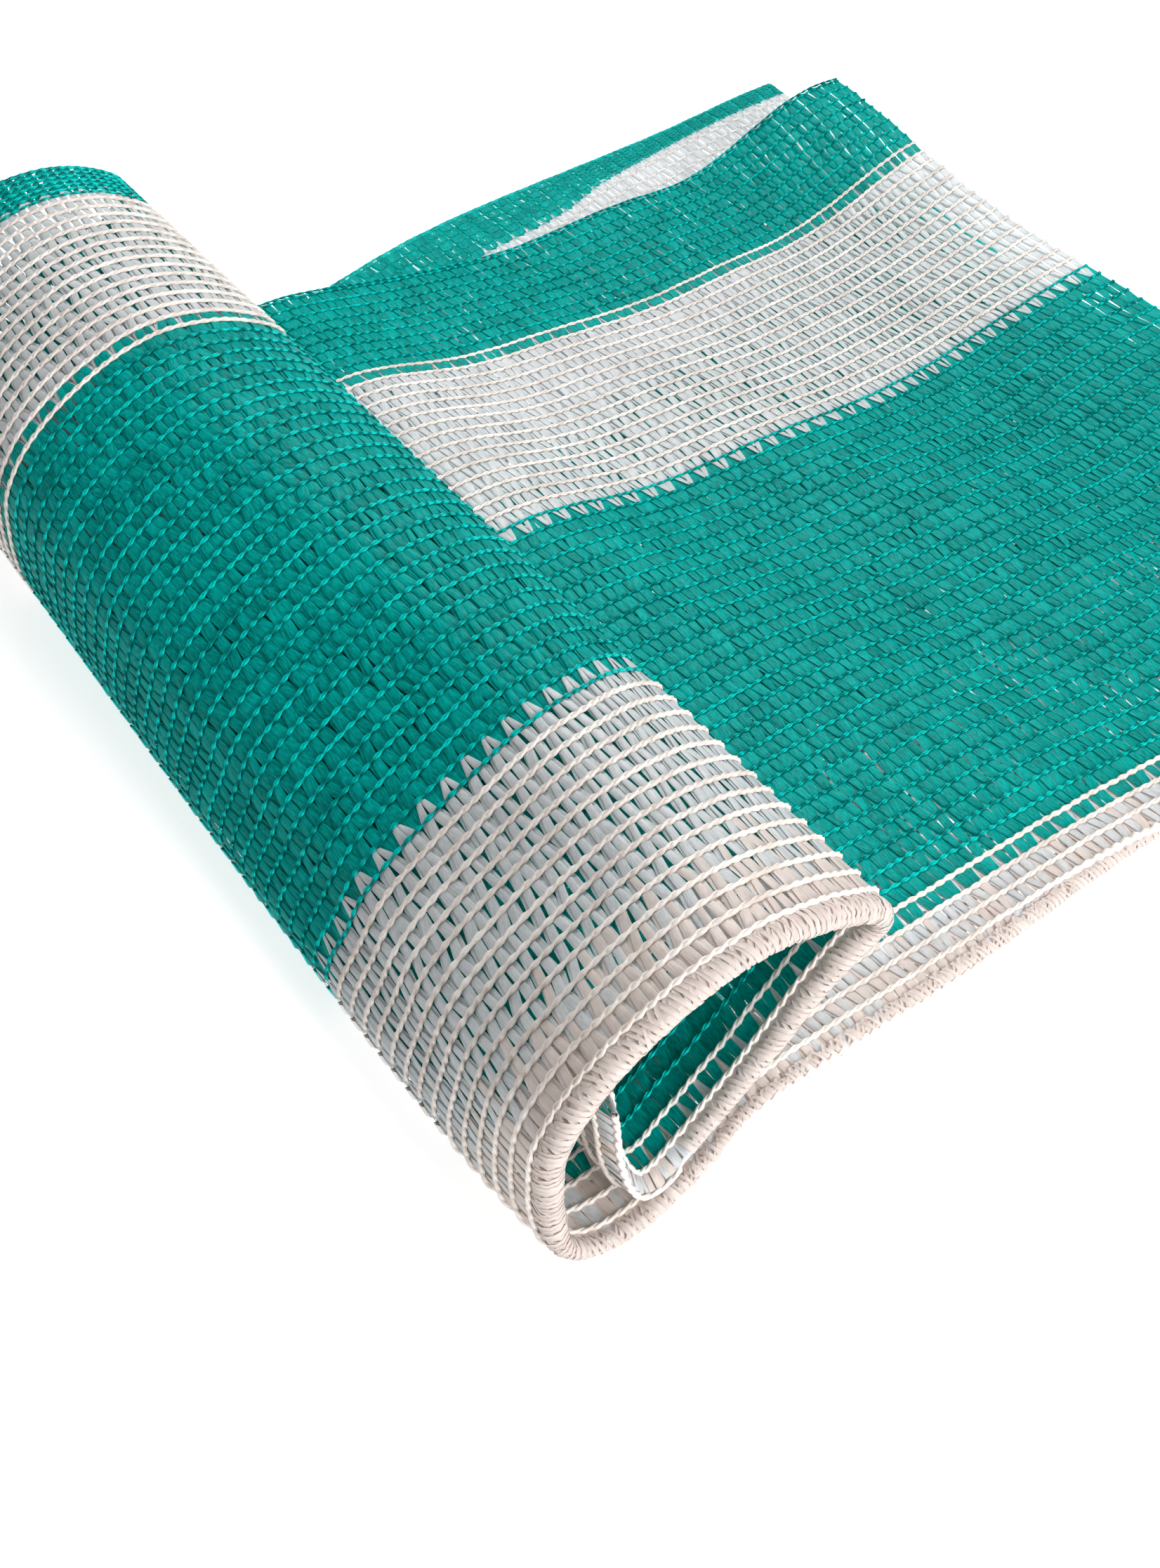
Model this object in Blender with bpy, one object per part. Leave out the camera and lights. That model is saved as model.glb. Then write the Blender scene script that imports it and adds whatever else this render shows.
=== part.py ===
"""A cut length of striped knitted shade net, folded once along its length and loosely rolled at one end.

The cloth runs along X, from the free end at the right to the roll at the left. The roll's axis runs along Y,
from the soft fold at the front to the two cut edges at the back. The whole cloth is one closed sheet.
"""

import math

import bmesh
import bpy
import numpy as np

MM = 0.001

# The cloth
WALE_PITCH = 3.05 * MM
LOWER_WALES = 63
UPPER_WALES = 56.5
SHEET_THICKNESS = 1.0 * MM
HALF_GAP = 1.0 * MM
SOFT_FOLD_RADIUS = 1.4 * MM
FOLD_BLEND = 8.0 * MM

# Where the cloth's middle lies above the ground, and where the solid's origin lies in the drawing below
MIDDLE_HEIGHT = HALF_GAP + SHEET_THICKNESS / 2
FLAT_TOLERANCE = 0.05 * MM
ORIGIN = np.array((94.32, 98.30, 0.0)) * MM

# The line of the cloth's middle in millimetres, from the free end to the hidden end inside the roll.
# Columns: x, height, how far back the soft fold lies, share of the soft fold's full roundness.
PATH = (
    (200.0, 1.5, 6.3, 1.0),
    (150.0, 1.5, 6.3, 1.0),
    (100.0, 1.5, 6.2, 1.0),
    (60.0, 1.5, 3.7, 1.0),
    (42.0, 1.5, 3.2, 1.0),
    (30.0, 1.5, 2.6, 0.5),
    (20.0, 1.5, 0.0, 0.0),
    (12.0, 1.5, -1.8, 0.0),
    (6.6, 1.5, -2.2, 0.0),
    (2.8, 1.9, -1.6, 0.0),
    (0.6, 3.8, -0.8, 0.2),
    (-0.1, 8.0, -0.2, 0.8),
    (-0.3, 14.0, 0.0, 1.0),
    (0.1, 20.0, 0.0, 1.0),
    (2.4, 24.8, 0.0, 1.0),
    (5.6, 28.4, 0.0, 1.0),
    (9.8, 31.6, 0.0, 1.0),
    (15.2, 34.3, 0.0, 1.0),
    (21.0, 36.2, 0.0, 1.0),
    (27.6, 36.6, 0.0, 1.0),
    (34.4, 35.1, 0.0, 1.0),
    (40.0, 32.4, 0.2, 1.0),
    (43.8, 29.4, 0.6, 1.0),
    (44.6, 26.2, 1.0, 1.0),
    (42.2, 23.6, 1.4, 1.0),
    (38.2, 20.2, 1.8, 1.0),
    (33.2, 15.6, 1.8, 0.7),
    (28.0, 11.2, 1.6, 0.4),
    (22.8, 7.9, 1.2, 0.1),
    (17.8, 5.8, 0.4, 0.0),
    (13.8, 5.0, -0.6, 0.0),
    (10.6, 5.8, -1.0, 0.0),
    (8.8, 8.8, -0.8, 0.0),
    (7.8, 13.4, -0.4, 0.0),
    (7.5, 18.6, 0.0, 0.0),
    (7.0, 23.4, 0.0, 0.0),
)
CURVE_STEPS = 24

# How far each layer is drawn in or let out across the cloth, as a share of the plain pitch.
# Columns: x in millimetres, lower layer, upper layer.
DRAW_IN = (
    (0.0, 1.005, 1.005),
    (10.0, 1.005, 1.005),
    (25.0, 0.980, 1.000),
    (60.0, 0.945, 0.990),
    (100.0, 0.970, 0.992),
    (150.0, 0.990, 0.998),
    (200.0, 1.005, 1.010),
)

# Where the free end is cut.
# Columns: distance behind the roll's front, then x of the lower and the upper layer's end, in millimetres.
FREE_END = (
    (-20.0, 190.0, 190.0),
    (20.0, 190.0, 190.0),
    (60.0, 188.0, 190.0),
    (95.0, 184.4, 186.6),
    (125.0, 185.2, 184.0),
    (150.0, 188.0, 185.8),
    (175.0, 190.6, 190.2),
    (200.0, 192.4, 193.0),
)
END_TRIM_START = 120.0 * MM

# The slack stretch of the roll's upper left side, which sinks behind the front rim.
# Columns: distance behind the rim and depth of the sag, in millimetres.
SAG = (
    (-10.0, 0.0),
    (4.0, 0.0),
    (24.0, 5.5),
    (46.0, 9.0),
    (70.0, 8.0),
    (105.0, 3.5),
    (140.0, 0.6),
    (190.0, 2.5),
)
SAG_CENTRE = (11.0 * MM, 28.0 * MM)
SAG_SPREAD = 20.0 * MM
SAG_DIRECTION = (math.sqrt(0.5), -math.sqrt(0.5))
# The line of the inner flap, which the sag doesn't reach
FLAP_FOOT = (13.8 * MM, 5.0 * MM)
FLAP_SLOPE = math.radians(33.5)
SAG_START = 5.0 * MM
SAG_FULL = 20.0 * MM

# How far the roll's lower left side stands out.
# Columns: distance behind the rim and how far out, in millimetres.
FULL_SIDE = (
    (-10.0, 0.5),
    (0.0, 0.6),
    (10.0, 1.6),
    (22.0, 2.4),
    (38.0, 2.8),
    (56.0, 2.9),
    (74.0, 2.8),
    (92.0, 2.5),
    (112.0, 2.1),
    (132.0, 1.7),
    (160.0, 1.3),
    (200.0, 1.1),
)
FULL_SIDE_START = (176.0 * MM, 204.0 * MM)
FULL_SIDE_END = (206.0 * MM, 234.0 * MM)

# The upper layer's soft waves: a swell beside the roll, a lifted free end and a low ripple
SWELL_HEIGHT = 7.0 * MM
SWELL_X = 61.0 * MM
SWELL_WIDTH = 21.0 * MM
SWELL_START_Y = 30.0 * MM
SWELL_FULL_Y = 150.0 * MM
LIFT_HEIGHT = 9.0 * MM
LIFT_START_X = 146.0 * MM
LIFT_FULL_X = 188.0 * MM
LIFT_START_Y = 25.0 * MM
LIFT_FULL_Y = 165.0 * MM
LIFT_AT_FRONT = 0.3
LOWER_SHARE_OF_LIFT = 0.15
RIPPLE_HEIGHT = 0.5 * MM
RIPPLE_LENGTH = 46.0 * MM
RIPPLE_SLANT = 0.35

# How finely the sheet is divided
STATIONS_ALONG = 84
BEND_WEIGHT = 6.5 * MM
LOWER_STATIONS = 8
FOLD_STATIONS = 7
UPPER_STATIONS = 13
UPPER_CROWDING = 1.35

NET_COLOUR = (0.0, 0.42, 0.36, 1.0)
NET_ROUGHNESS = 0.45


def smooth(value, start, end):
    """0 below start, 1 above end and a soft step between them."""
    share = np.clip((value - start) / (end - start), 0, 1)
    return share * share * (3 - 2 * share)


def rounded(table):
    """A table's rows joined by a smooth curve, as many short rows."""
    table = np.array(table)
    before = 2 * table[0] - table[1]
    after = 2 * table[-1] - table[-2]
    points = np.vstack((before, table, after))
    t = np.arange(CURVE_STEPS)[:, None] / CURVE_STEPS
    stretches = []
    for first, start, end, last in zip(points, points[1:], points[2:], points[3:]):
        stretches.append(
            start
            + 0.5 * t * (end - first)
            + t**2 * (first - 2.5 * start + 2 * end - 0.5 * last)
            + t**3 * (1.5 * (start - end) + 0.5 * (last - first))
        )
    return np.vstack((*stretches, table[-1]))


def path():
    """The path's smooth rows in metres, none below the height of flat cloth, and the length along it."""
    rows = rounded(PATH) * (MM, MM, MM, 1)
    rows[:, 1] = np.maximum(rows[:, 1], MIDDLE_HEIGHT)
    steps = np.hypot(np.diff(rows[:, 0]), np.diff(rows[:, 1]))
    return rows, np.concatenate(([0], np.cumsum(steps)))


def stations_along(rows, length):
    """Lengths along the path that lie closer together where it bends."""
    heading = np.unwrap(np.arctan2(np.gradient(rows[:, 1], length), np.gradient(rows[:, 0], length)))
    bending = np.abs(np.gradient(heading, length))
    weight = np.cumsum((1 + BEND_WEIGHT * bending) * np.gradient(length))
    weight = (weight - weight[0]) / (weight[-1] - weight[0])
    return np.interp(np.linspace(0, 1, STATIONS_ALONG), weight, length)


def stations_across():
    """Distances over the soft fold from its front line, negative on the lower layer, positive on the upper."""
    half_turn = math.pi * HALF_GAP / 2
    lower = -np.linspace(LOWER_WALES * WALE_PITCH, half_turn, LOWER_STATIONS, endpoint=False)
    fold = np.linspace(-half_turn, half_turn, FOLD_STATIONS)
    share = np.linspace(0, 1, UPPER_STATIONS + 1)[1:]
    upper = half_turn + (UPPER_WALES * WALE_PITCH - half_turn) * share**UPPER_CROWDING
    return np.concatenate((lower, fold, upper))


def drawn_in(x, distance):
    """The distance over the fold once each layer is drawn in or let out."""
    at, lower, upper = rounded(DRAW_IN).T
    share = np.where(distance < 0, np.interp(x, at * MM, lower), np.interp(x, at * MM, upper))
    return distance * share


def over_fold(distance, roundness):
    """Depth behind the soft fold's front line, and height off the cloth's middle."""
    radius = HALF_GAP + (SOFT_FOLD_RADIUS - HALF_GAP) * roundness
    angle = distance / HALF_GAP
    turned = np.clip(angle, -math.pi / 2, math.pi / 2)
    in_turn = np.abs(angle) <= math.pi / 2
    depth = radius + np.abs(distance) - math.pi / 2 * HALF_GAP
    depth = np.where(in_turn, radius * (1 - np.cos(turned)), depth)
    bulge = 1 - smooth(depth, radius, FOLD_BLEND)
    layer = np.where(distance < 0, -HALF_GAP, HALF_GAP + 2 * (radius - HALF_GAP) * bulge)
    return depth, np.where(in_turn, -HALF_GAP + radius + radius * np.sin(turned), layer)


def trimmed(x, y, distance, drawn_end):
    """The place along the cloth once its free end is cut to each layer's own line."""
    at, lower, upper = rounded(FREE_END).T * MM
    lower_end = np.interp(y, at, lower)
    upper_end = np.interp(y, at, upper)
    end = lower_end + (upper_end - lower_end) * smooth(distance, -FOLD_BLEND, FOLD_BLEND)
    return x - (drawn_end - end) * smooth(x, END_TRIM_START, drawn_end)


def waved(x, y, z, distance):
    """The height of the flat part's layers once the upper one swells and lifts."""
    swell = SWELL_HEIGHT * np.exp(-(((x - SWELL_X) / SWELL_WIDTH) ** 2))
    swell = swell * smooth(y, SWELL_START_Y, SWELL_FULL_Y)
    lift = LIFT_HEIGHT * smooth(x, LIFT_START_X, LIFT_FULL_X)
    lift = lift * (LIFT_AT_FRONT + (1 - LIFT_AT_FRONT) * smooth(y, LIFT_START_Y, LIFT_FULL_Y))
    ripple = RIPPLE_HEIGHT * (1 + np.sin(2 * math.pi * (x + RIPPLE_SLANT * y) / RIPPLE_LENGTH))
    ripple = ripple * smooth(x, SWELL_X - SWELL_WIDTH, SWELL_X) * smooth(y, 0, SWELL_START_Y)
    lower_lift = LOWER_SHARE_OF_LIFT * lift * smooth(x, LIFT_START_X, LIFT_FULL_X)
    return z + np.where(distance > 0, swell + lift + ripple, lower_lift)


def sagged(x, y, z):
    """A point of the roll once the slack stretch of its upper left side has sunk in."""
    behind, depth = rounded(SAG).T * MM
    above = (z - FLAP_FOOT[1]) * math.cos(FLAP_SLOPE) - (x - FLAP_FOOT[0]) * math.sin(FLAP_SLOPE)
    away = np.hypot(x - SAG_CENTRE[0], z - SAG_CENTRE[1])
    sink = np.interp(y, behind, depth) * smooth(above, SAG_START, SAG_FULL)
    sink = sink * np.exp(-0.5 * (away / SAG_SPREAD) ** 2)
    return x + SAG_DIRECTION[0] * sink, z + SAG_DIRECTION[1] * sink


def filled_out(x, y, along):
    """The place along X once the roll's lower left side stands out, at lengths along the path."""
    behind, out = rounded(FULL_SIDE).T * MM
    share = smooth(along, *FULL_SIDE_START) * (1 - smooth(along, *FULL_SIDE_END))
    return x - np.interp(y, behind, out) * share


def sheet_points(at, distance, rows, length):
    """Points of the sheet's middle, a row for each length along the path, running over the soft fold."""
    x, z, fold_y, roundness = [np.interp(at, length, column)[:, None] for column in rows.T]
    ahead_x, ahead_z = [np.interp(at, length, np.gradient(column, length))[:, None] for column in rows.T[:2]]
    ahead = np.hypot(ahead_x, ahead_z)
    flat_end = length[rows[:, 1] <= MIDDLE_HEIGHT + FLAT_TOLERANCE].max()
    on_flat = at[:, None] <= flat_end
    stretched = drawn_in(np.where(on_flat, x, 0), distance[None, :])
    depth, off = over_fold(stretched, roundness)
    x = x + ahead_z / ahead * off
    z = z - ahead_x / ahead * off
    y = fold_y + depth
    flat_x = trimmed(x, y, stretched, rows[0, 0])
    flat_z = waved(flat_x, y, z, stretched)
    roll_x, roll_z = sagged(x, y, z)
    x = filled_out(np.where(on_flat, flat_x, roll_x), y, at[:, None])
    return np.stack((x, y, np.where(on_flat, flat_z, roll_z)), axis=-1)


def net_material():
    """A matt green plastic yarn."""
    material = bpy.data.materials.new("net_yarn")
    material.use_nodes = True
    shader = material.node_tree.nodes["Principled BSDF"]
    shader.inputs["Base Color"].default_value = NET_COLOUR
    shader.inputs["Roughness"].default_value = NET_ROUGHNESS
    shader.inputs["Metallic"].default_value = 0.0
    return material


def shade_cloth():
    """The folded and rolled cloth as one thick sheet."""
    rows, length = path()
    points = sheet_points(stations_along(rows, length), stations_across(), rows, length) - ORIGIN
    mesh = bpy.data.meshes.new("shade_cloth")
    body = bmesh.new()
    corners = [[body.verts.new(point) for point in row] for row in points]
    for row, next_row in zip(corners, corners[1:]):
        for column in range(len(row) - 1):
            body.faces.new((row[column], next_row[column], next_row[column + 1], row[column + 1]))
    body.to_mesh(mesh)
    body.free()
    mesh.shade_smooth()
    cloth = bpy.data.objects.new("shade_cloth", mesh)
    cloth.data.materials.append(net_material())
    bpy.context.scene.collection.objects.link(cloth)
    thick = cloth.modifiers.new("thickness", "SOLIDIFY")
    thick.thickness = SHEET_THICKNESS
    thick.offset = 0
    thick.use_even_offset = True
    return cloth


for leftover in list(bpy.data.objects):
    bpy.data.objects.remove(leftover)
shade_cloth()
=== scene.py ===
"""A cut length of striped shade net, knitted yarn by yarn over the folded and rolled cloth's solid.

Chains of stitches run along the cloth, one for each wale. Flat tapes zigzag under them, each over two wales.
"""

import math

import bpy
import numpy as np
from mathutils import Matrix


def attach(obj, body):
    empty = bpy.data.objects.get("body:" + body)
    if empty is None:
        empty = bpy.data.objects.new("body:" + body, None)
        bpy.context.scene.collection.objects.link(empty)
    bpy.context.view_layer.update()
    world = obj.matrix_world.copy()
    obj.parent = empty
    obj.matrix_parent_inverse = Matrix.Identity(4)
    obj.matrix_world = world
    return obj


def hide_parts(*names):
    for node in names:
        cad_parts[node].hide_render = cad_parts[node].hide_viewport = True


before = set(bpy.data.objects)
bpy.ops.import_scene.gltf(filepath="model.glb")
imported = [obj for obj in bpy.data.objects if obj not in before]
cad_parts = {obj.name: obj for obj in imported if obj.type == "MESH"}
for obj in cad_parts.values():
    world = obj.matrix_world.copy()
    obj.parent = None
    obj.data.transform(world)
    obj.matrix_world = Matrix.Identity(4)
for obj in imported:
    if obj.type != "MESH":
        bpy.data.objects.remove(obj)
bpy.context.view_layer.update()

MM = 0.001
SEED = 7
NEARLY_NOTHING = 1e-12

# The cloth, as its solid has it
WALE_PITCH = 3.05 * MM
LOWER_WALES = 63
UPPER_WALES = 56.5
SHEET_THICKNESS = 1.0 * MM
HALF_GAP = 1.0 * MM
SOFT_FOLD_RADIUS = 1.4 * MM
FOLD_BLEND = 8.0 * MM
MIDDLE_HEIGHT = HALF_GAP + SHEET_THICKNESS / 2
FLAT_TOLERANCE = 0.05 * MM
ORIGIN = np.array((94.32, 98.30, 0.0)) * MM

# The line of the cloth's middle in millimetres, from the free end to the hidden end inside the roll.
# Columns: x, height, how far back the soft fold lies, share of the soft fold's full roundness.
PATH = (
    (200.0, 1.5, 6.3, 1.0),
    (150.0, 1.5, 6.3, 1.0),
    (100.0, 1.5, 6.2, 1.0),
    (60.0, 1.5, 3.7, 1.0),
    (42.0, 1.5, 3.2, 1.0),
    (30.0, 1.5, 2.6, 0.5),
    (20.0, 1.5, 0.0, 0.0),
    (12.0, 1.5, -1.8, 0.0),
    (6.6, 1.5, -2.2, 0.0),
    (2.8, 1.9, -1.6, 0.0),
    (0.6, 3.8, -0.8, 0.2),
    (-0.1, 8.0, -0.2, 0.8),
    (-0.3, 14.0, 0.0, 1.0),
    (0.1, 20.0, 0.0, 1.0),
    (2.4, 24.8, 0.0, 1.0),
    (5.6, 28.4, 0.0, 1.0),
    (9.8, 31.6, 0.0, 1.0),
    (15.2, 34.3, 0.0, 1.0),
    (21.0, 36.2, 0.0, 1.0),
    (27.6, 36.6, 0.0, 1.0),
    (34.4, 35.1, 0.0, 1.0),
    (40.0, 32.4, 0.2, 1.0),
    (43.8, 29.4, 0.6, 1.0),
    (44.6, 26.2, 1.0, 1.0),
    (42.2, 23.6, 1.4, 1.0),
    (38.2, 20.2, 1.8, 1.0),
    (33.2, 15.6, 1.8, 0.7),
    (28.0, 11.2, 1.6, 0.4),
    (22.8, 7.9, 1.2, 0.1),
    (17.8, 5.8, 0.4, 0.0),
    (13.8, 5.0, -0.6, 0.0),
    (10.6, 5.8, -1.0, 0.0),
    (8.8, 8.8, -0.8, 0.0),
    (7.8, 13.4, -0.4, 0.0),
    (7.5, 18.6, 0.0, 0.0),
    (7.0, 23.4, 0.0, 0.0),
)
CURVE_STEPS = 24

# How far each layer is drawn in or let out across the cloth, as a share of the plain pitch.
# Columns: x in millimetres, lower layer, upper layer.
DRAW_IN = (
    (0.0, 1.005, 1.005),
    (10.0, 1.005, 1.005),
    (25.0, 0.980, 1.000),
    (60.0, 0.945, 0.990),
    (100.0, 0.970, 0.992),
    (150.0, 0.990, 0.998),
    (200.0, 1.005, 1.010),
)

# Where the free end is cut.
# Columns: distance behind the roll's front, then x of the lower and the upper layer's end, in millimetres.
FREE_END = (
    (-20.0, 190.0, 190.0),
    (20.0, 190.0, 190.0),
    (60.0, 188.0, 190.0),
    (95.0, 184.4, 186.6),
    (125.0, 185.2, 184.0),
    (150.0, 188.0, 185.8),
    (175.0, 190.6, 190.2),
    (200.0, 192.4, 193.0),
)
END_TRIM_START = 120.0 * MM

# The slack stretch of the roll's upper left side, which sinks behind the front rim.
# Columns: distance behind the rim and depth of the sag, in millimetres.
SAG = (
    (-10.0, 0.0),
    (4.0, 0.0),
    (24.0, 5.5),
    (46.0, 9.0),
    (70.0, 8.0),
    (105.0, 3.5),
    (140.0, 0.6),
    (190.0, 2.5),
)
SAG_CENTRE = (11.0 * MM, 28.0 * MM)
SAG_SPREAD = 20.0 * MM
SAG_DIRECTION = (math.sqrt(0.5), -math.sqrt(0.5))
# The line of the inner flap, which the sag doesn't reach
FLAP_FOOT = (13.8 * MM, 5.0 * MM)
FLAP_SLOPE = math.radians(33.5)
SAG_START = 5.0 * MM
SAG_FULL = 20.0 * MM

# How far the roll's lower left side stands out.
# Columns: distance behind the rim and how far out, in millimetres.
FULL_SIDE = (
    (-10.0, 0.5),
    (0.0, 0.6),
    (10.0, 1.6),
    (22.0, 2.4),
    (38.0, 2.8),
    (56.0, 2.9),
    (74.0, 2.8),
    (92.0, 2.5),
    (112.0, 2.1),
    (132.0, 1.7),
    (160.0, 1.3),
    (200.0, 1.1),
)
FULL_SIDE_START = (176.0 * MM, 204.0 * MM)
FULL_SIDE_END = (206.0 * MM, 234.0 * MM)

# The upper layer's soft waves: a swell beside the roll, a lifted free end and a low ripple
SWELL_HEIGHT = 7.0 * MM
SWELL_X = 61.0 * MM
SWELL_WIDTH = 21.0 * MM
SWELL_START_Y = 30.0 * MM
SWELL_FULL_Y = 150.0 * MM
LIFT_HEIGHT = 9.0 * MM
LIFT_START_X = 146.0 * MM
LIFT_FULL_X = 188.0 * MM
LIFT_START_Y = 25.0 * MM
LIFT_FULL_Y = 165.0 * MM
LIFT_AT_FRONT = 0.3
LOWER_SHARE_OF_LIFT = 0.15
RIPPLE_HEIGHT = 0.5 * MM
RIPPLE_LENGTH = 46.0 * MM
RIPPLE_SLANT = 0.35

# The lattice of the cloth's surface that the yarns are laid on
LATTICE_ALONG = 900
LATTICE_STEP = 1.0 * MM
FOLD_LATTICE_REACH = 4.0 * MM
FOLD_LATTICE_STEP = 0.2 * MM
LATTICE_MARGIN = 3.0 * MM

# The knit: wales are counted from the fold on the roll's outside, negative on the lower layer
COURSE = 3.45 * MM
STITCHES_A_COURSE = 2
FIRST_WALE = -67
LAST_WALE = 58
# Each stripe's first wale, from the lower layer's cut edge to the upper layer's
STRIPES = (
    (-67, "teal"),
    (-59, "white"),
    (-44, "teal"),
    (-14, "white"),
    (5, "teal"),
    (34, "white"),
    (49, "teal"),
)
# How far the wales have crept over the fold. Columns: length along the path in millimetres, wales.
FOLD_DRIFT = (
    (0.0, 0.9),
    (50.0, 0.9),
    (90.0, 0.9),
    (140.0, 0.0),
    (200.0, 0.0),
    (266.0, 0.0),
    (276.0, 2.0),
    (336.0, 2.0),
)
# Where the lower layer's far white stripe starts and ends, in plain pitches from the fold, as it creeps
# towards the fold on the flat part. Columns: length along the path in millimetres, start, end.
FAR_STRIPE = (
    (0.0, 46.0, 61.2),
    (26.0, 46.0, 61.2),
    (46.4, 44.0, 60.6),
    (58.4, 43.0, 60.0),
    (70.4, 42.0, 58.6),
    (81.4, 41.0, 58.0),
    (92.0, 40.4, 57.7),
    (106.0, 40.0, 56.2),
    (134.0, 39.5, 55.5),
    (165.0, 45.0, 59.5),
    (190.0, 45.0, 59.5),
    (336.0, 45.0, 59.5),
)
PLAIN_STRIPE = (45.0, 59.5)
# The number of wales to the lower layer's cut edge, where they lie closer together
EDGE_WALES = 66.5
# How far from its neighbour each layer's outermost chain lies, as a share of the plain pitch
EDGE_SHARE = 0.3

# Where the yarns show least, so that they need fewer rings. Path lengths: the roll's outside.
ROLL_START = 203 * MM
ROLL_END = 292 * MM
FLAT_END = 165 * MM

# Unevenness. The first value brings a sum of waves to between about -1 and 1.
WAVES_PEAK = 1.7
WALE_WANDER = 0.10 * MM
COURSE_BUNCHING = 0.28 * MM

# Chains of stitches: two strands that cross at each stitch.
# Under the roll's wefts, the chains nearest to the fold are sunk.
STRAND_RADIUS = 0.29 * MM
STRAND_SWELL = 0.12
TEAL_STRAND = 0.55
TEAL_SWELL = 0.35
# Painted highlight and painted shade along each chain: each stitch's middle is painted lighter and the
# crossing between stitches darker, more strongly on the teal chains.
STITCH_PAINTED_SHADING = 0.25
TEAL_STITCH_PAINTED_SHADING = 0.75
CHAIN_SPREAD = 0.15 * MM
CHAIN_DEPTH = 0.10 * MM
CHAIN_OFF = 0.18 * MM
SUNK_CHAIN = 0.40 * MM
SUNK_REACH = (0.4 * WALE_PITCH, 0.8 * WALE_PITCH)
ZIGZAG = 0.04 * MM
RIM_WALES = 6
# Rings for each stitch, and sides of each strand
FINE = (4, 4)
SHOWN = (4, 3)
PLAIN = (3, 3)
HIDDEN = (1, 3)

# Flat tapes.
# Columns: wales from the tape's own chain, courses from its turn there, level, share of its full width.
TAPE_STATIONS = (
    (0.00, 0.06, -0.6, 0.60),
    (0.15, 0.17, -1.0, 1.00),
    (0.85, 0.22, -1.0, 1.00),
    (1.00, 0.25, 0.0, 0.85),
    (1.15, 0.28, 1.0, 1.00),
    (1.85, 0.33, 1.0, 0.85),
    (2.00, 0.44, 0.0, 0.50),
)
# The same columns for white tapes that reach past their stripe's edge, where their legs meet in a tooth.
TOOTH_STATIONS = (
    (0.00, 0.06, -0.6, 0.60),
    (0.15, 0.17, -1.0, 1.00),
    (0.85, 0.22, -1.0, 1.00),
    (1.00, 0.27, 0.0, 0.85),
    (1.15, 0.31, 1.2, 0.85),
    (1.85, 0.42, 1.6, 0.50),
    (2.00, 0.47, 1.0, 0.20),
)
TAPE_WIDTH = 1.22 * MM
TEAL_TAPE_SHARE = 1.2
TAPE_UNEVEN = 0.12
TAPE_NARROWEST = 0.6
TAPE_WIDEST = 1.3
TAPE_SLIP = 0.04
TAPE_OFF = -0.02 * MM
TAPE_LAYER = 0.09 * MM
LEG_LEVEL = 0.25
TAPE_BULGE = 0.03 * MM
TAPE_TILT = 0.07 * MM
TAPE_TONE = 0.12
TAPE_ROUNDING = 0.09 * MM
# How far the streaks' pattern moves from one wale, course or weft to the next
WALE_SHIFT = 3
COURSE_SHIFT = 7
WEFT_SHIFT = 3

# Fine wefts that wrap the soft fold in two slants, and how many wales beside it have warmer tapes.
# On the flat part they reach less far, and the fold's chain lies over them.
WEFT_ROLL = (168 * MM, 188 * MM)
WEFT_FLAT_SHARE = 0.55
WEFT_END = 308 * MM
WEFT_PITCH = 0.80 * MM
WEFT_WIDTH = 0.62 * MM
WEFT_REACH = 2.6 * MM
WEFT_SLANT = 1.3 * MM
WEFT_OFF = (0.22 * MM, 0.30 * MM)
WEFT_STATIONS = 9
WEFT_REACH_UNEVEN = 0.12
WEFT_UNEVEN = 0.2
WEFT_RISE = 0.03 * MM
WEFT_TONE = 0.2
WARM_WALES = 2.5
WARM_SPREAD = 1.4

# Colours from dark to light, as linear values
WHITE_CHAIN = ((0.72, 0.64, 0.58), (0.99, 0.93, 0.88))
TEAL_CHAIN = ((0.000, 0.18, 0.17), (0.00, 0.62, 0.58))
WHITE_TAPE = ((0.59, 0.63, 0.65), (0.92, 0.94, 0.96))
TEAL_TAPE = ((0.000, 0.19, 0.170), (0.000, 0.66, 0.60))
WARM_TAPE = ((0.76, 0.67, 0.62), (0.95, 0.87, 0.83))
WHITE_SHINE = 0.5
TEAL_SHINE = 0.05
CHAIN_ROUGHNESS = 0.42
TAPE_ROUGHNESS = 0.36
TAPE_TRANSLUCENT = 0.35
CHAIN_STREAKS = (3.0, 2.0, 1.0)
TAPE_STREAKS = (1.2, 7.0, 1.0)
FIBRE_SHARE = 1.8
TONE_SHARE = 0.7
FIBRE_HEIGHT = 0.05 * MM
FIBRE_DETAIL = 2.0
FIBRE_ROUGHNESS = 0.6

# The camera, in the drawing's frame, and its lens: the photograph is 1652 pixels wide,
# and its focal length is 2725 pixels
CAMERA_PLACE = np.array((-60.6, -90.0, 190.0)) * MM
CAMERA_PITCH = 46.2
CAMERA_TURN = -35.0
SENSOR_WIDTH = 36.0
NEAREST = 10 * MM
FOCAL_LENGTH = SENSOR_WIDTH * 2725 / 1652

# Floor and light. Lamps: name, place, power, size, colour.
FLOOR_HALF = 3.0
FLOOR_DROP = 0.2 * MM
FLOOR_ROUGHNESS = 0.9
FLOOR_COLOUR = (0.62, 0.62, 0.62)
FLOOR_GLOW = 1.15
WORLD_COLOUR = (1.0, 1.0, 1.0)
WORLD_STRENGTH = 0.31
LAMPS = (
    ("key", (0.60, 0.70, 1.1), 16.0, 0.7, (1.0, 0.99, 0.98)),
    ("front", (0.3, -1.1, 0.55), 11.5, 0.6, (1.0, 0.99, 0.98)),
    ("mouth", (-0.15, -0.9, 0.12), 2.5, 0.3, (1.0, 0.99, 0.98)),
)


def smooth(value, start, end):
    """0 below start, 1 above end and a soft step between them."""
    share = np.clip((value - start) / (end - start), 0, 1)
    return share * share * (3 - 2 * share)


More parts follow.
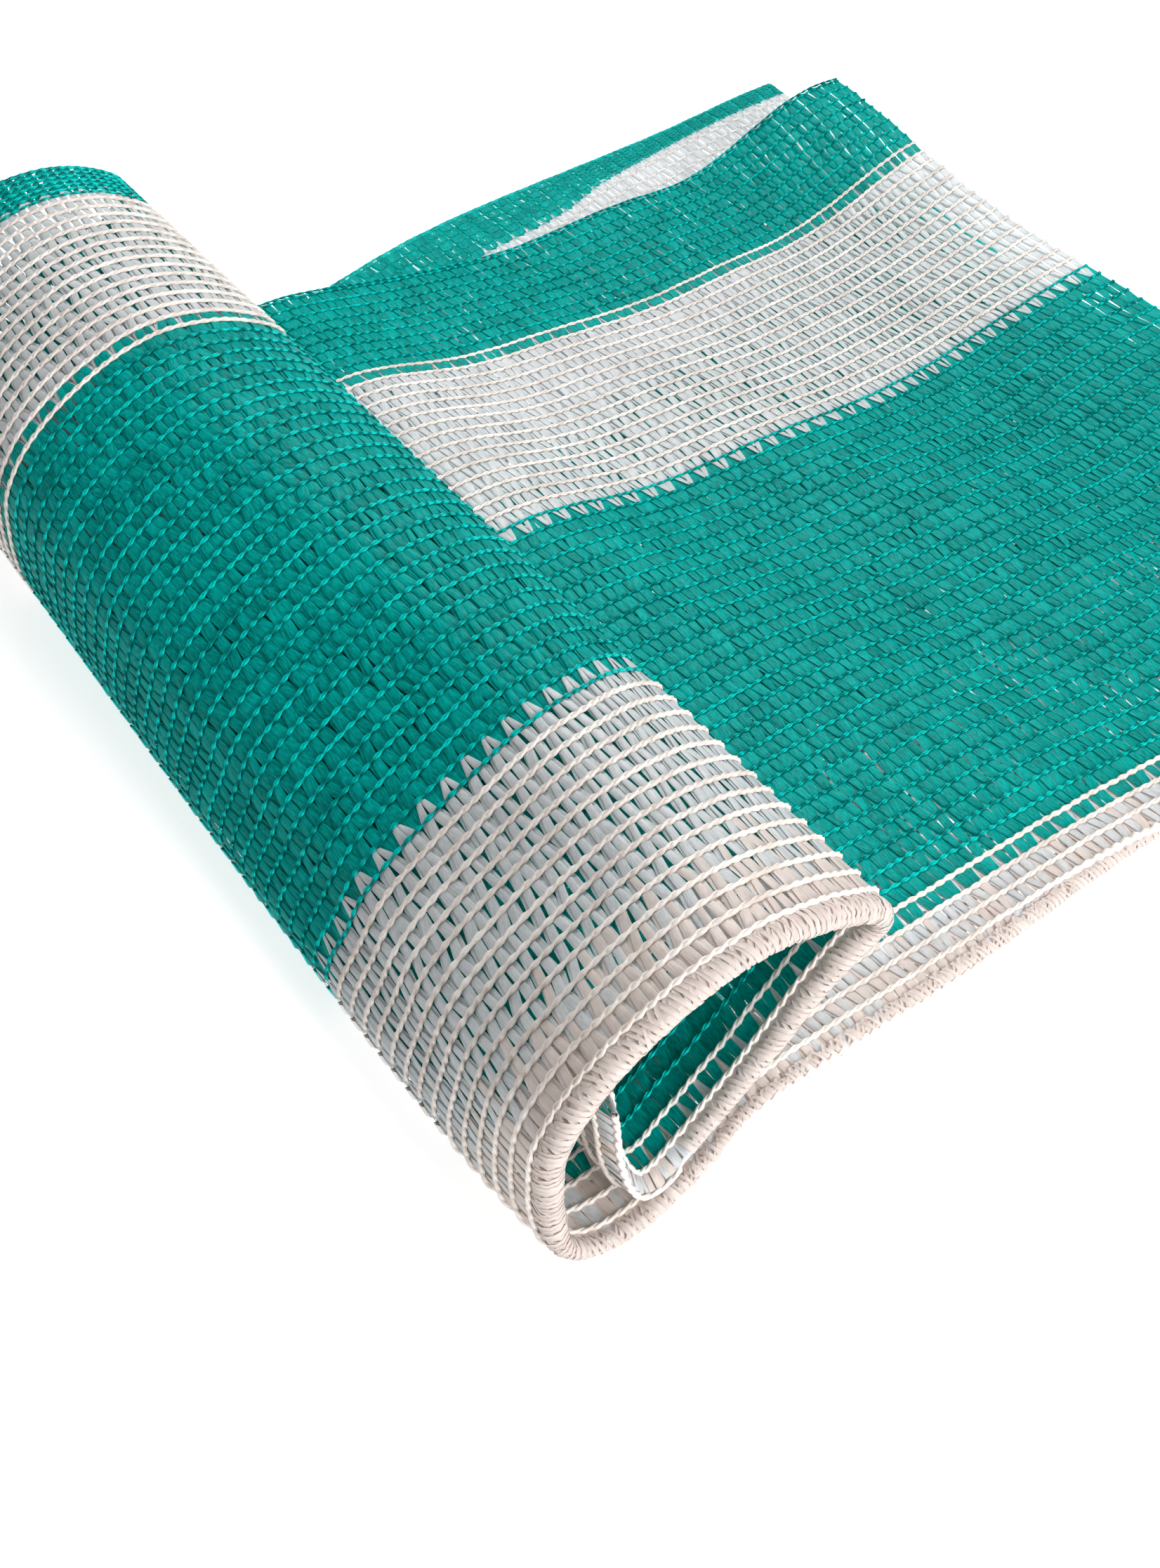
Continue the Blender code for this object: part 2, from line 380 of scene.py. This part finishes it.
def rounded(table):
    """A table's rows joined by a smooth curve, as many short rows."""
    table = np.array(table)
    before = 2 * table[0] - table[1]
    after = 2 * table[-1] - table[-2]
    points = np.vstack((before, table, after))
    t = np.arange(CURVE_STEPS)[:, None] / CURVE_STEPS
    stretches = []
    for first, start, end, last in zip(points, points[1:], points[2:], points[3:]):
        stretches.append(
            start
            + 0.5 * t * (end - first)
            + t**2 * (first - 2.5 * start + 2 * end - 0.5 * last)
            + t**3 * (1.5 * (start - end) + 0.5 * (last - first))
        )
    return np.vstack((*stretches, table[-1]))


def path():
    """The path's smooth rows in metres, none below the height of flat cloth, and the length along it."""
    rows = rounded(PATH) * (MM, MM, MM, 1)
    rows[:, 1] = np.maximum(rows[:, 1], MIDDLE_HEIGHT)
    steps = np.hypot(np.diff(rows[:, 0]), np.diff(rows[:, 1]))
    return rows, np.concatenate(([0], np.cumsum(steps)))


def drawn_in(x, distance):
    """The distance over the fold once each layer is drawn in or let out."""
    at, lower, upper = rounded(DRAW_IN).T
    share = np.where(distance < 0, np.interp(x, at * MM, lower), np.interp(x, at * MM, upper))
    return distance * share


def over_fold(distance, roundness):
    """Depth behind the soft fold's front line, and height off the cloth's middle."""
    radius = HALF_GAP + (SOFT_FOLD_RADIUS - HALF_GAP) * roundness
    angle = distance / HALF_GAP
    turned = np.clip(angle, -math.pi / 2, math.pi / 2)
    in_turn = np.abs(angle) <= math.pi / 2
    depth = radius + np.abs(distance) - math.pi / 2 * HALF_GAP
    depth = np.where(in_turn, radius * (1 - np.cos(turned)), depth)
    bulge = 1 - smooth(depth, radius, FOLD_BLEND)
    layer = np.where(distance < 0, -HALF_GAP, HALF_GAP + 2 * (radius - HALF_GAP) * bulge)
    return depth, np.where(in_turn, -HALF_GAP + radius + radius * np.sin(turned), layer)


def trimmed(x, y, distance, drawn_end):
    """The place along the cloth once its free end is cut to each layer's own line."""
    at, lower, upper = rounded(FREE_END).T * MM
    lower_end = np.interp(y, at, lower)
    upper_end = np.interp(y, at, upper)
    end = lower_end + (upper_end - lower_end) * smooth(distance, -FOLD_BLEND, FOLD_BLEND)
    return x - (drawn_end - end) * smooth(x, END_TRIM_START, drawn_end)


def waved(x, y, z, distance):
    """The height of the flat part's layers once the upper one swells and lifts."""
    swell = SWELL_HEIGHT * np.exp(-(((x - SWELL_X) / SWELL_WIDTH) ** 2))
    swell = swell * smooth(y, SWELL_START_Y, SWELL_FULL_Y)
    lift = LIFT_HEIGHT * smooth(x, LIFT_START_X, LIFT_FULL_X)
    lift = lift * (LIFT_AT_FRONT + (1 - LIFT_AT_FRONT) * smooth(y, LIFT_START_Y, LIFT_FULL_Y))
    ripple = RIPPLE_HEIGHT * (1 + np.sin(2 * math.pi * (x + RIPPLE_SLANT * y) / RIPPLE_LENGTH))
    ripple = ripple * smooth(x, SWELL_X - SWELL_WIDTH, SWELL_X) * smooth(y, 0, SWELL_START_Y)
    lower_lift = LOWER_SHARE_OF_LIFT * lift * smooth(x, LIFT_START_X, LIFT_FULL_X)
    return z + np.where(distance > 0, swell + lift + ripple, lower_lift)


def sagged(x, y, z):
    """A point of the roll once the slack stretch of its upper left side has sunk in."""
    behind, depth = rounded(SAG).T * MM
    above = (z - FLAP_FOOT[1]) * math.cos(FLAP_SLOPE) - (x - FLAP_FOOT[0]) * math.sin(FLAP_SLOPE)
    away = np.hypot(x - SAG_CENTRE[0], z - SAG_CENTRE[1])
    sink = np.interp(y, behind, depth) * smooth(above, SAG_START, SAG_FULL)
    sink = sink * np.exp(-0.5 * (away / SAG_SPREAD) ** 2)
    return x + SAG_DIRECTION[0] * sink, z + SAG_DIRECTION[1] * sink


def filled_out(x, y, along):
    """The place along X once the roll's lower left side stands out, at lengths along the path."""
    behind, out = rounded(FULL_SIDE).T * MM
    share = smooth(along, *FULL_SIDE_START) * (1 - smooth(along, *FULL_SIDE_END))
    return x - np.interp(y, behind, out) * share


def sheet_points(at, distance, rows, length):
    """Points of the sheet's middle, a row for each length along the path, running over the soft fold."""
    x, z, fold_y, roundness = [np.interp(at, length, column)[:, None] for column in rows.T]
    ahead_x, ahead_z = [np.interp(at, length, np.gradient(column, length))[:, None] for column in rows.T[:2]]
    ahead = np.hypot(ahead_x, ahead_z)
    flat_end = length[rows[:, 1] <= MIDDLE_HEIGHT + FLAT_TOLERANCE].max()
    on_flat = at[:, None] <= flat_end
    stretched = drawn_in(np.where(on_flat, x, 0), distance[None, :])
    depth, off = over_fold(stretched, roundness)
    x = x + ahead_z / ahead * off
    z = z - ahead_x / ahead * off
    y = fold_y + depth
    flat_x = trimmed(x, y, stretched, rows[0, 0])
    flat_z = waved(flat_x, y, z, stretched)
    roll_x, roll_z = sagged(x, y, z)
    x = filled_out(np.where(on_flat, flat_x, roll_x), y, at[:, None])
    return np.stack((x, y, np.where(on_flat, flat_z, roll_z)), axis=-1)


class Cloth:
    """The cloth's surface as a lattice: where lengths along it and distances over the fold lie in space."""

    def __init__(self):
        rows, length = path()
        self.length = length[-1]
        self.along = np.linspace(0, self.length, LATTICE_ALONG)
        lower = np.arange(-LOWER_WALES * WALE_PITCH - LATTICE_MARGIN, -FOLD_LATTICE_REACH, LATTICE_STEP)
        fold = np.arange(-FOLD_LATTICE_REACH, FOLD_LATTICE_REACH, FOLD_LATTICE_STEP)
        upper = np.arange(FOLD_LATTICE_REACH, UPPER_WALES * WALE_PITCH + LATTICE_MARGIN, LATTICE_STEP)
        self.over = np.concatenate((lower, fold, upper))
        self.points = sheet_points(self.along, self.over, rows, length) - ORIGIN
        along_step = np.gradient(self.points, self.along, axis=0)
        over_step = np.gradient(self.points, self.over, axis=1)
        self.normals = unit(np.cross(over_step, along_step))
        self.across = unit(over_step)
        self.ahead = unit(along_step)

    def blend(self, field, along, over):
        """The field's value between the lattice's points."""
        row = np.clip(np.interp(along, self.along, np.arange(len(self.along))), 0, len(self.along) - 1.001)
        column = np.clip(np.interp(over, self.over, np.arange(len(self.over))), 0, len(self.over) - 1.001)
        i, j = row.astype(int), column.astype(int)
        f, g = (row - i)[..., None], (column - j)[..., None]
        near = field[i, j] * (1 - g) + field[i, j + 1] * g
        far = field[i + 1, j] * (1 - g) + field[i + 1, j + 1] * g
        return near * (1 - f) + far * f

    def place(self, along, over, off):
        """Points that stand off the cloth's surface, positive on the folded cloth's outside."""
        return self.blend(self.points, along, over) + self.blend(self.normals, along, over) * off[..., None]


def unit(vectors):
    """The vectors at length 1."""
    return vectors / np.maximum(np.linalg.norm(vectors, axis=-1, keepdims=True), NEARLY_NOTHING)


def from_table(table, along):
    """The value of a two-column table at lengths along the cloth."""
    at, value = rounded(table).T
    return np.interp(along, at * MM, value)


class Ripples:
    """Soft unevenness over the cloth, between about -1 and 1: a few slanted waves, the same on each run."""

    def __init__(self, seed, shortest, longest, waves=7):
        rng = np.random.default_rng(seed)
        lengths = np.geomspace(shortest, longest, waves)
        turns = rng.uniform(0, 2 * math.pi, waves)
        self.wave_x = 2 * math.pi / lengths * np.cos(turns)
        self.wave_y = 2 * math.pi / lengths * np.sin(turns)
        self.phase = rng.uniform(0, 2 * math.pi, waves)

    def __call__(self, along, over):
        total = 0
        for wave_x, wave_y, phase in zip(self.wave_x, self.wave_y, self.phase):
            total = total + np.sin(along * wave_x + over * wave_y + phase)
        return total / math.sqrt(len(self.phase) / 2) / WAVES_PEAK


wander = Ripples(SEED, 6 * MM, 60 * MM)
bunching = Ripples(SEED + 1, 5 * MM, 40 * MM)
blotches = Ripples(SEED + 2, 3 * MM, 30 * MM)


def wale_over(wale, along):
    """The distance over the fold of a wale at lengths along the cloth, with its slight wandering."""
    wale = np.clip(wale, FIRST_WALE + 1, LAST_WALE - 1) * (1 - EDGE_SHARE) + wale * EDGE_SHARE
    at, start, end = rounded(FAR_STRIPE).T
    start, end = np.interp(along, at * MM, start), np.interp(along, at * MM, end)
    plain_start, plain_end = PLAIN_STRIPE
    before = -wale * start / plain_start
    inside = start + (-wale - plain_start) * (end - start) / (plain_end - plain_start)
    beyond = end + (-wale - plain_end) * (LOWER_WALES - end) / (EDGE_WALES - plain_end)
    crept = np.where(-wale < plain_start, before, np.where(-wale < plain_end, inside, beyond))
    place = np.where(wale < 0, -crept, wale) - from_table(FOLD_DRIFT, along)
    return place * WALE_PITCH + WALE_WANDER * wander(along, wale * WALE_PITCH)


def course_along(wale, course):
    """The length along the cloth of a course on a wale, which bunches up and spreads a little."""
    plain = course * COURSE
    return plain + COURSE_BUNCHING * bunching(plain, wale * WALE_PITCH)


def stripe_of(wales):
    """0 for each white wale and 1 for each teal one."""
    starts = np.array([start for start, _ in STRIPES])
    teal = np.array([colour == "teal" for _, colour in STRIPES])
    return teal[np.clip(np.searchsorted(starts, wales, side="right") - 1, 0, None)].astype(int)


def yarn_mesh(name, points, quads, shade, uvs, stripes, materials):
    """An object of quads with each point's tone, a map of the yarn's length and width, and its colours."""
    points, shade, uvs = points.reshape(-1, 3), shade.ravel(), uvs.reshape(-1, 2)
    mesh = bpy.data.meshes.new(name)
    mesh.vertices.add(len(points))
    mesh.vertices.foreach_set("co", points.astype(np.float32).ravel())
    mesh.loops.add(quads.size)
    mesh.loops.foreach_set("vertex_index", quads.astype(np.int32).ravel())
    mesh.polygons.add(len(quads))
    mesh.polygons.foreach_set("loop_start", np.arange(0, quads.size, 4, dtype=np.int32))
    mesh.polygons.foreach_set("material_index", stripes.astype(np.int32))
    for material in materials:
        mesh.materials.append(material)
    tone = mesh.attributes.new("tone", "FLOAT", "POINT")
    tone.data.foreach_set("value", shade.astype(np.float32))
    yarn_map = mesh.uv_layers.new(name="yarn")
    yarn_map.data.foreach_set("uv", uvs[quads.ravel()].astype(np.float32).ravel())
    mesh.update()
    mesh.validate()
    mesh.shade_smooth()
    obj = bpy.data.objects.new(name, mesh)
    bpy.context.scene.collection.objects.link(obj)
    return obj


def strand_quads(runs, rings, sides):
    """The faces of many tubes side by side, each of several rings; a ring of two sides is an open strip."""
    ring, side = np.meshgrid(np.arange(rings - 1), np.arange(sides if sides > 2 else 1), indexing="ij")
    next_side = (side + 1) % sides
    corners = (ring * sides + side, ring * sides + next_side)
    corners += ((ring + 1) * sides + next_side, (ring + 1) * sides + side)
    one = np.stack([corner.ravel() for corner in corners], axis=-1)
    first = np.arange(runs) * rings * sides
    return (first[:, None, None] + one[None]).reshape(-1, 4), len(one)


def chains(name, cloth, wales, start, end, rings_a_stitch, sides, materials):
    """Chains of stitches: two strands for each wale that cross at each stitch, one over the other."""
    wales = np.asarray(wales)
    rings_a_course = rings_a_stitch * STITCHES_A_COURSE
    first, last = math.ceil(start / COURSE * rings_a_course), math.floor(end / COURSE * rings_a_course)
    course = np.arange(first, last + 1) / rings_a_course
    strand = np.arange(2)
    turn = math.pi * (STITCHES_A_COURSE * course[None, None, :] + strand[None, :, None])
    wale = wales[:, None, None]
    beat = course[None, None, :] + 0 * turn
    sideways = CHAIN_SPREAD * np.cos(turn) + ZIGZAG * np.cos(2 * turn + wale) + 0 * wale
    lift = CHAIN_OFF + CHAIN_DEPTH * np.sin(turn) + 0 * wale
    along = course_along(wale, beat + 0 * wale)
    over = wale_over(wale, along)
    on_roll = smooth(along, *WEFT_ROLL) * (along < WEFT_END)
    under_wefts = (1 - smooth(np.abs(over), *SUNK_REACH)) * on_roll
    lift = lift - SUNK_CHAIN * under_wefts
    angle = 2 * math.pi * np.arange(sides) / sides
    teal = stripe_of(wale) == 1
    thick = STRAND_RADIUS * np.where(teal, TEAL_STRAND, 1)
    thick = thick * (1 + np.where(teal, TEAL_SWELL, STRAND_SWELL) * np.cos(2 * turn))
    ring_over = (over + sideways)[..., None] + thick[..., None] * np.cos(angle)
    ring_off = lift[..., None] + thick[..., None] * np.sin(angle)
    ring_along = np.broadcast_to(along[..., None], ring_over.shape)
    points = cloth.place(ring_along, ring_over, ring_off)
    # Painted highlight on each stitch's middle and painted shade where the strands cross between stitches,
    # added to the random blotches.
    painted_stitch_shading = np.where(teal, TEAL_STITCH_PAINTED_SHADING, STITCH_PAINTED_SHADING) * np.cos(2 * turn)
    shade = (0.5 + 0.5 * blotches(along, over) + painted_stitch_shading)[..., None] + 0 * ring_over
    length_map = (beat + wale)[..., None] + 0 * ring_over
    uvs = np.stack((length_map, angle / (2 * math.pi) + 0 * ring_over), axis=-1)
    runs, rings = len(wales) * 2, len(course)
    quads, each = strand_quads(runs, rings, sides)
    stripes = np.repeat(stripe_of(np.repeat(wales, 2)), each)
    return yarn_mesh(name, points, quads, shade, uvs, stripes, materials)


def tapes(name, cloth, wales, materials):
    """Flat tapes: each goes from its own chain over the next to the one beyond, and back, once a course."""
    rng = np.random.default_rng(SEED + abs(int(wales[0])))
    courses = np.arange(0, math.floor(cloth.length / COURSE))
    legs = np.arange(2)
    wale = np.asarray(wales)[:, None, None, None]
    course = courses[None, :, None, None]
    leg = legs[None, None, :, None]
    tooth = (stripe_of(wale) == 0) & (stripe_of(wale - 1) == 1)
    stations = np.where(tooth[..., None], np.array(TOOTH_STATIONS), np.array(TAPE_STATIONS))
    reach, pace, level, width = np.moveaxis(stations, -1, 0)
    shape = (len(wales), len(courses), 2, len(TAPE_STATIONS))
    back = leg == 1
    beat = np.where(back, 1 - pace, pace)
    loose = np.sin(math.pi * reach)
    slip = TAPE_SLIP * rng.normal(size=shape) * np.abs(loose)
    spread = 1 + TAPE_UNEVEN * rng.normal(size=shape[:3])[..., None]
    spread = np.clip(spread, TAPE_NARROWEST, TAPE_WIDEST)
    half = 0.5 * TAPE_WIDTH * width * spread * np.where(stripe_of(wale) == 1, TEAL_TAPE_SHARE, 1)
    beat = course + beat + slip + 0 * wale
    at_wale = wale - reach + 0 * beat
    middle = course_along(at_wale, beat)
    over = wale_over(at_wale, middle)
    bulge = TAPE_BULGE * rng.normal(size=shape[:3])[..., None] * np.abs(loose)
    tilt = TAPE_TILT * rng.normal(size=shape[:3])[..., None] * np.abs(loose)
    off = TAPE_OFF + (level + np.where(back, -LEG_LEVEL, LEG_LEVEL)) * TAPE_LAYER + bulge + 0 * beat
    edge = np.array((-1.0, 1.0))
    edge_along = middle[..., None] + half[..., None] * edge
    edge_over = np.broadcast_to(over[..., None], edge_along.shape)
    edge_off = off[..., None] + tilt[..., None] * edge
    points = cloth.place(edge_along, edge_over, edge_off)
    shade = np.clip(0.5 + TAPE_TONE * rng.normal(size=shape[:3]), 0, 1)[..., None, None] + 0 * edge_along
    length_map = (reach + at_wale * WALE_SHIFT + course * COURSE_SHIFT)[..., None] + 0 * edge_along
    uvs = np.stack((length_map, 0.5 + 0.5 * edge + 0 * edge_along), axis=-1)
    runs = len(wales) * len(courses) * 2
    quads, each = strand_quads(runs, len(TAPE_STATIONS), 2)
    stripe = np.broadcast_to(stripe_of(wales)[:, None, None], shape[:3])
    beside_fold = np.abs(wales)[:, None, None] < WARM_WALES + WARM_SPREAD * rng.normal(size=shape[:3])
    stripes = np.repeat(np.where((stripe == 0) & beside_fold, 2, stripe).ravel(), each)
    return yarn_mesh(name, points, quads, shade, uvs, stripes, materials)


def rim_wefts(name, cloth, materials):
    """Fine wefts that wrap the soft fold, in two layers of opposite slant."""
    rng = np.random.default_rng(SEED)
    count = math.floor((WEFT_END - WEFT_SLANT * 2) / WEFT_PITCH)
    layer = np.arange(2)[:, None, None]
    weft = np.arange(count)[None, :, None]
    share = np.linspace(-1, 1, WEFT_STATIONS)[None, None, :]
    longer, steeper, higher, thicker, lighter = rng.normal(size=(5, 2, count, 1))
    reach = WEFT_REACH * (1 + WEFT_REACH_UNEVEN * longer)
    slant = WEFT_SLANT * np.where(layer == 0, -1, 1) * (1 + WEFT_UNEVEN * steeper)
    middle = WEFT_SLANT + (weft + 0.5 * layer) * WEFT_PITCH + slant * share
    wide = WEFT_FLAT_SHARE + (1 - WEFT_FLAT_SHARE) * smooth(middle, *WEFT_ROLL)
    over = reach * share * wide
    off = np.where(layer == 0, *WEFT_OFF) * (1 - share**4) + WEFT_RISE * higher
    half = 0.5 * WEFT_WIDTH * (1 + WEFT_UNEVEN * thicker) + 0 * middle
    edge = np.array((-1.0, 1.0))
    edge_along = middle[..., None] + half[..., None] * edge
    points = cloth.place(edge_along, over[..., None] + 0 * edge_along, off[..., None] + 0 * edge_along)
    shade = np.clip(0.5 + WEFT_TONE * lighter, 0, 1)[..., None] + 0 * edge_along
    length_map = (share + weft * WEFT_SHIFT)[..., None] + 0 * edge_along
    uvs = np.stack((length_map, 0.5 + 0.5 * edge + 0 * edge_along), axis=-1)
    quads, _ = strand_quads(2 * count, WEFT_STATIONS, 2)
    stripes = np.zeros(len(quads))
    return yarn_mesh(name, points, quads, shade, uvs, stripes, materials)


def shader_nodes(material):
    """A fresh node tree and a call that adds a node with its sockets set."""
    material.use_nodes = True
    tree = material.node_tree
    tree.nodes.clear()

    def add(kind, **values):
        node = tree.nodes.new(kind)
        for name, value in values.items():
            node.inputs[name.replace("_", " ")].default_value = value
        return node

    return tree, add


def rounded_height(add, link, yarn_map, fibres, rounding):
    """A height that is greatest along a tape's middle, with the fibres' noise on it."""
    parts = add("ShaderNodeSeparateXYZ")
    link(yarn_map.outputs["UV"], parts.inputs["Vector"])
    other_side = add("ShaderNodeMath")
    other_side.operation = "SUBTRACT"
    other_side.inputs[0].default_value = 1.0
    link(parts.outputs["Y"], other_side.inputs[1])
    arch = add("ShaderNodeMath")
    arch.operation = "MULTIPLY"
    link(parts.outputs["Y"], arch.inputs[0])
    link(other_side.outputs[0], arch.inputs[1])
    height = add("ShaderNodeMath")
    height.operation = "MULTIPLY_ADD"
    height.inputs[1].default_value = 4 * rounding / FIBRE_HEIGHT
    link(arch.outputs[0], height.inputs[0])
    link(fibres.outputs["Fac"], height.inputs[2])
    return height.outputs[0]


def yarn_material(name, dark, light, shine, roughness, translucent, streaks):
    """Plastic yarn: its colour runs from dark to light with each point's tone, streaks and fine noise; on
    the chains that tone holds painted highlights and painted shade at the stitches as well as random
    blotches.
    """
    material = bpy.data.materials.new(name)
    tree, add = shader_nodes(material)
    link = tree.links.new
    tone = add("ShaderNodeAttribute")
    tone.attribute_name = "tone"
    yarn_map = add("ShaderNodeUVMap")
    yarn_map.uv_map = "yarn"
    stretch = add("ShaderNodeMapping", Scale=streaks)
    fibres = add("ShaderNodeTexNoise", Scale=1.0, Detail=FIBRE_DETAIL, Roughness=FIBRE_ROUGHNESS)
    link(yarn_map.outputs["UV"], stretch.inputs["Vector"])
    link(stretch.outputs["Vector"], fibres.inputs["Vector"])
    share = add("ShaderNodeMath")
    share.operation = "MULTIPLY_ADD"
    share.inputs[1].default_value = FIBRE_SHARE
    link(fibres.outputs["Fac"], share.inputs[0])
    scaled = add("ShaderNodeMath")
    scaled.operation = "MULTIPLY_ADD"
    scaled.inputs[1].default_value = TONE_SHARE
    scaled.inputs[2].default_value = 0.5 - 0.5 * (TONE_SHARE + FIBRE_SHARE)
    link(tone.outputs["Fac"], scaled.inputs[0])
    link(scaled.outputs[0], share.inputs[2])
    colour = add("ShaderNodeMix")
    colour.data_type = "RGBA"
    colour.inputs[6].default_value = (*dark, 1)
    colour.inputs[7].default_value = (*light, 1)
    link(share.outputs[0], colour.inputs[0])
    shader = add("ShaderNodeBsdfPrincipled", Roughness=roughness, Specular_IOR_Level=shine)
    link(colour.outputs[2], shader.inputs["Base Color"])
    bump = add("ShaderNodeBump", Strength=1.0, Distance=FIBRE_HEIGHT)
    height = fibres.outputs["Fac"]
    if translucent:
        height = rounded_height(add, link, yarn_map, fibres, TAPE_ROUNDING)
    link(height, bump.inputs["Height"])
    link(bump.outputs["Normal"], shader.inputs["Normal"])
    output = add("ShaderNodeOutputMaterial")
    if not translucent:
        link(shader.outputs["BSDF"], output.inputs["Surface"])
        return material
    through = add("ShaderNodeBsdfTranslucent")
    link(colour.outputs[2], through.inputs["Color"])
    both = add("ShaderNodeMixShader", Fac=translucent)
    link(shader.outputs["BSDF"], both.inputs[1])
    link(through.outputs["BSDF"], both.inputs[2])
    link(both.outputs["Shader"], output.inputs["Surface"])
    return material


def camera():
    """The camera at the photograph's angle, worked out from the net's two families of parallel lines."""
    data = bpy.data.cameras.new("camera")
    data.sensor_fit = "HORIZONTAL"
    data.sensor_width = SENSOR_WIDTH
    data.lens = FOCAL_LENGTH
    data.clip_start = NEAREST
    seat = bpy.data.objects.new("camera", data)
    seat.location = CAMERA_PLACE - ORIGIN
    seat.rotation_euler = (math.radians(90 - CAMERA_PITCH), 0, math.radians(CAMERA_TURN))
    bpy.context.scene.collection.objects.link(seat)
    bpy.context.scene.camera = seat


def floor():
    """A plain pale floor."""
    mesh = bpy.data.meshes.new("floor")
    corners = [(-FLOOR_HALF, -FLOOR_HALF, 0), (FLOOR_HALF, -FLOOR_HALF, 0)]
    corners += [(FLOOR_HALF, FLOOR_HALF, 0), (-FLOOR_HALF, FLOOR_HALF, 0)]
    mesh.from_pydata(corners, [], [(0, 1, 2, 3)])
    ground = bpy.data.objects.new("floor", mesh)
    ground.location.z = -FLOOR_DROP
    bpy.context.scene.collection.objects.link(ground)
    material = bpy.data.materials.new("floor")
    tree, add = shader_nodes(material)
    shader = add("ShaderNodeBsdfPrincipled", Base_Color=(*FLOOR_COLOUR, 1), Roughness=FLOOR_ROUGHNESS)
    shader.inputs["Emission Color"].default_value = (*FLOOR_COLOUR, 1)
    shader.inputs["Emission Strength"].default_value = FLOOR_GLOW
    output = add("ShaderNodeOutputMaterial")
    tree.links.new(shader.outputs["BSDF"], output.inputs["Surface"])
    ground.data.materials.append(material)


def area_light(name, place, power, size, colour):
    """A soft square lamp that points at the object's middle."""
    data = bpy.data.lights.new(name, "AREA")
    data.energy = power
    data.size = size
    data.color = colour
    lamp = bpy.data.objects.new(name, data)
    lamp.location = place
    aim = lamp.location * -1
    lamp.rotation_euler = aim.to_track_quat("-Z", "Y").to_euler()
    bpy.context.scene.collection.objects.link(lamp)


def studio():
    """Soft light from the upper right and a bright, even surround."""
    world = bpy.data.worlds.new("surround")
    bpy.context.scene.world = world
    world.use_nodes = True
    world.node_tree.nodes["Background"].inputs["Color"].default_value = (*WORLD_COLOUR, 1)
    world.node_tree.nodes["Background"].inputs["Strength"].default_value = WORLD_STRENGTH
    for name, place, power, size, colour in LAMPS:
        area_light(name, place, power, size, colour)
    bpy.context.scene.view_settings.view_transform = "Standard"


def shade_cloth():
    """The whole net: its tapes, and its chains in stretches with more rings where they show."""
    cloth = Cloth()
    chain = (CHAIN_ROUGHNESS, 0, CHAIN_STREAKS)
    tape = (TAPE_ROUGHNESS, TAPE_TRANSLUCENT, TAPE_STREAKS)
    white_chain = yarn_material("white_chain", *WHITE_CHAIN, WHITE_SHINE, *chain)
    teal_chain = yarn_material("teal_chain", *TEAL_CHAIN, TEAL_SHINE, *chain)
    white_tape = yarn_material("white_tape", *WHITE_TAPE, WHITE_SHINE, *tape)
    warm_tape = yarn_material("warm_tape", *WARM_TAPE, WHITE_SHINE, *tape)
    teal_tape = yarn_material("teal_tape", *TEAL_TAPE, TEAL_SHINE, *tape)
    yarns = (white_chain, teal_chain)
    bands = (white_tape, teal_tape, warm_tape)
    lower = np.arange(FIRST_WALE, -RIM_WALES)
    rim = np.arange(-RIM_WALES, RIM_WALES + 1)
    upper = np.arange(RIM_WALES + 1, LAST_WALE + 1)
    end = cloth.length
    pieces = [
        chains("chains_rim", cloth, rim, 0, end, *FINE, yarns),
        chains("chains_roll_outside", cloth, lower, ROLL_START, ROLL_END, *SHOWN, yarns),
        chains("chains_flat_top", cloth, upper, 0, FLAT_END, *PLAIN, yarns),
        chains("chains_flat_underside", cloth, lower, 0, ROLL_START, *HIDDEN, yarns),
        chains("chains_flap_underside", cloth, lower, ROLL_END, end, *HIDDEN, yarns),
        chains("chains_roll_inside", cloth, upper, FLAT_END, end, *HIDDEN, yarns),
        rim_wefts("rim_wefts", cloth, (warm_tape,)),
    ]
    lower_tapes = tapes("tapes_lower", cloth, np.arange(FIRST_WALE + 2, 1), bands)
    upper_tapes = tapes("tapes_upper", cloth, np.arange(1, LAST_WALE + 1), bands)
    for piece in pieces + [lower_tapes, upper_tapes]:
        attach(piece, "root")
    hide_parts("shade_cloth")


camera()
studio()
floor()
shade_cloth()
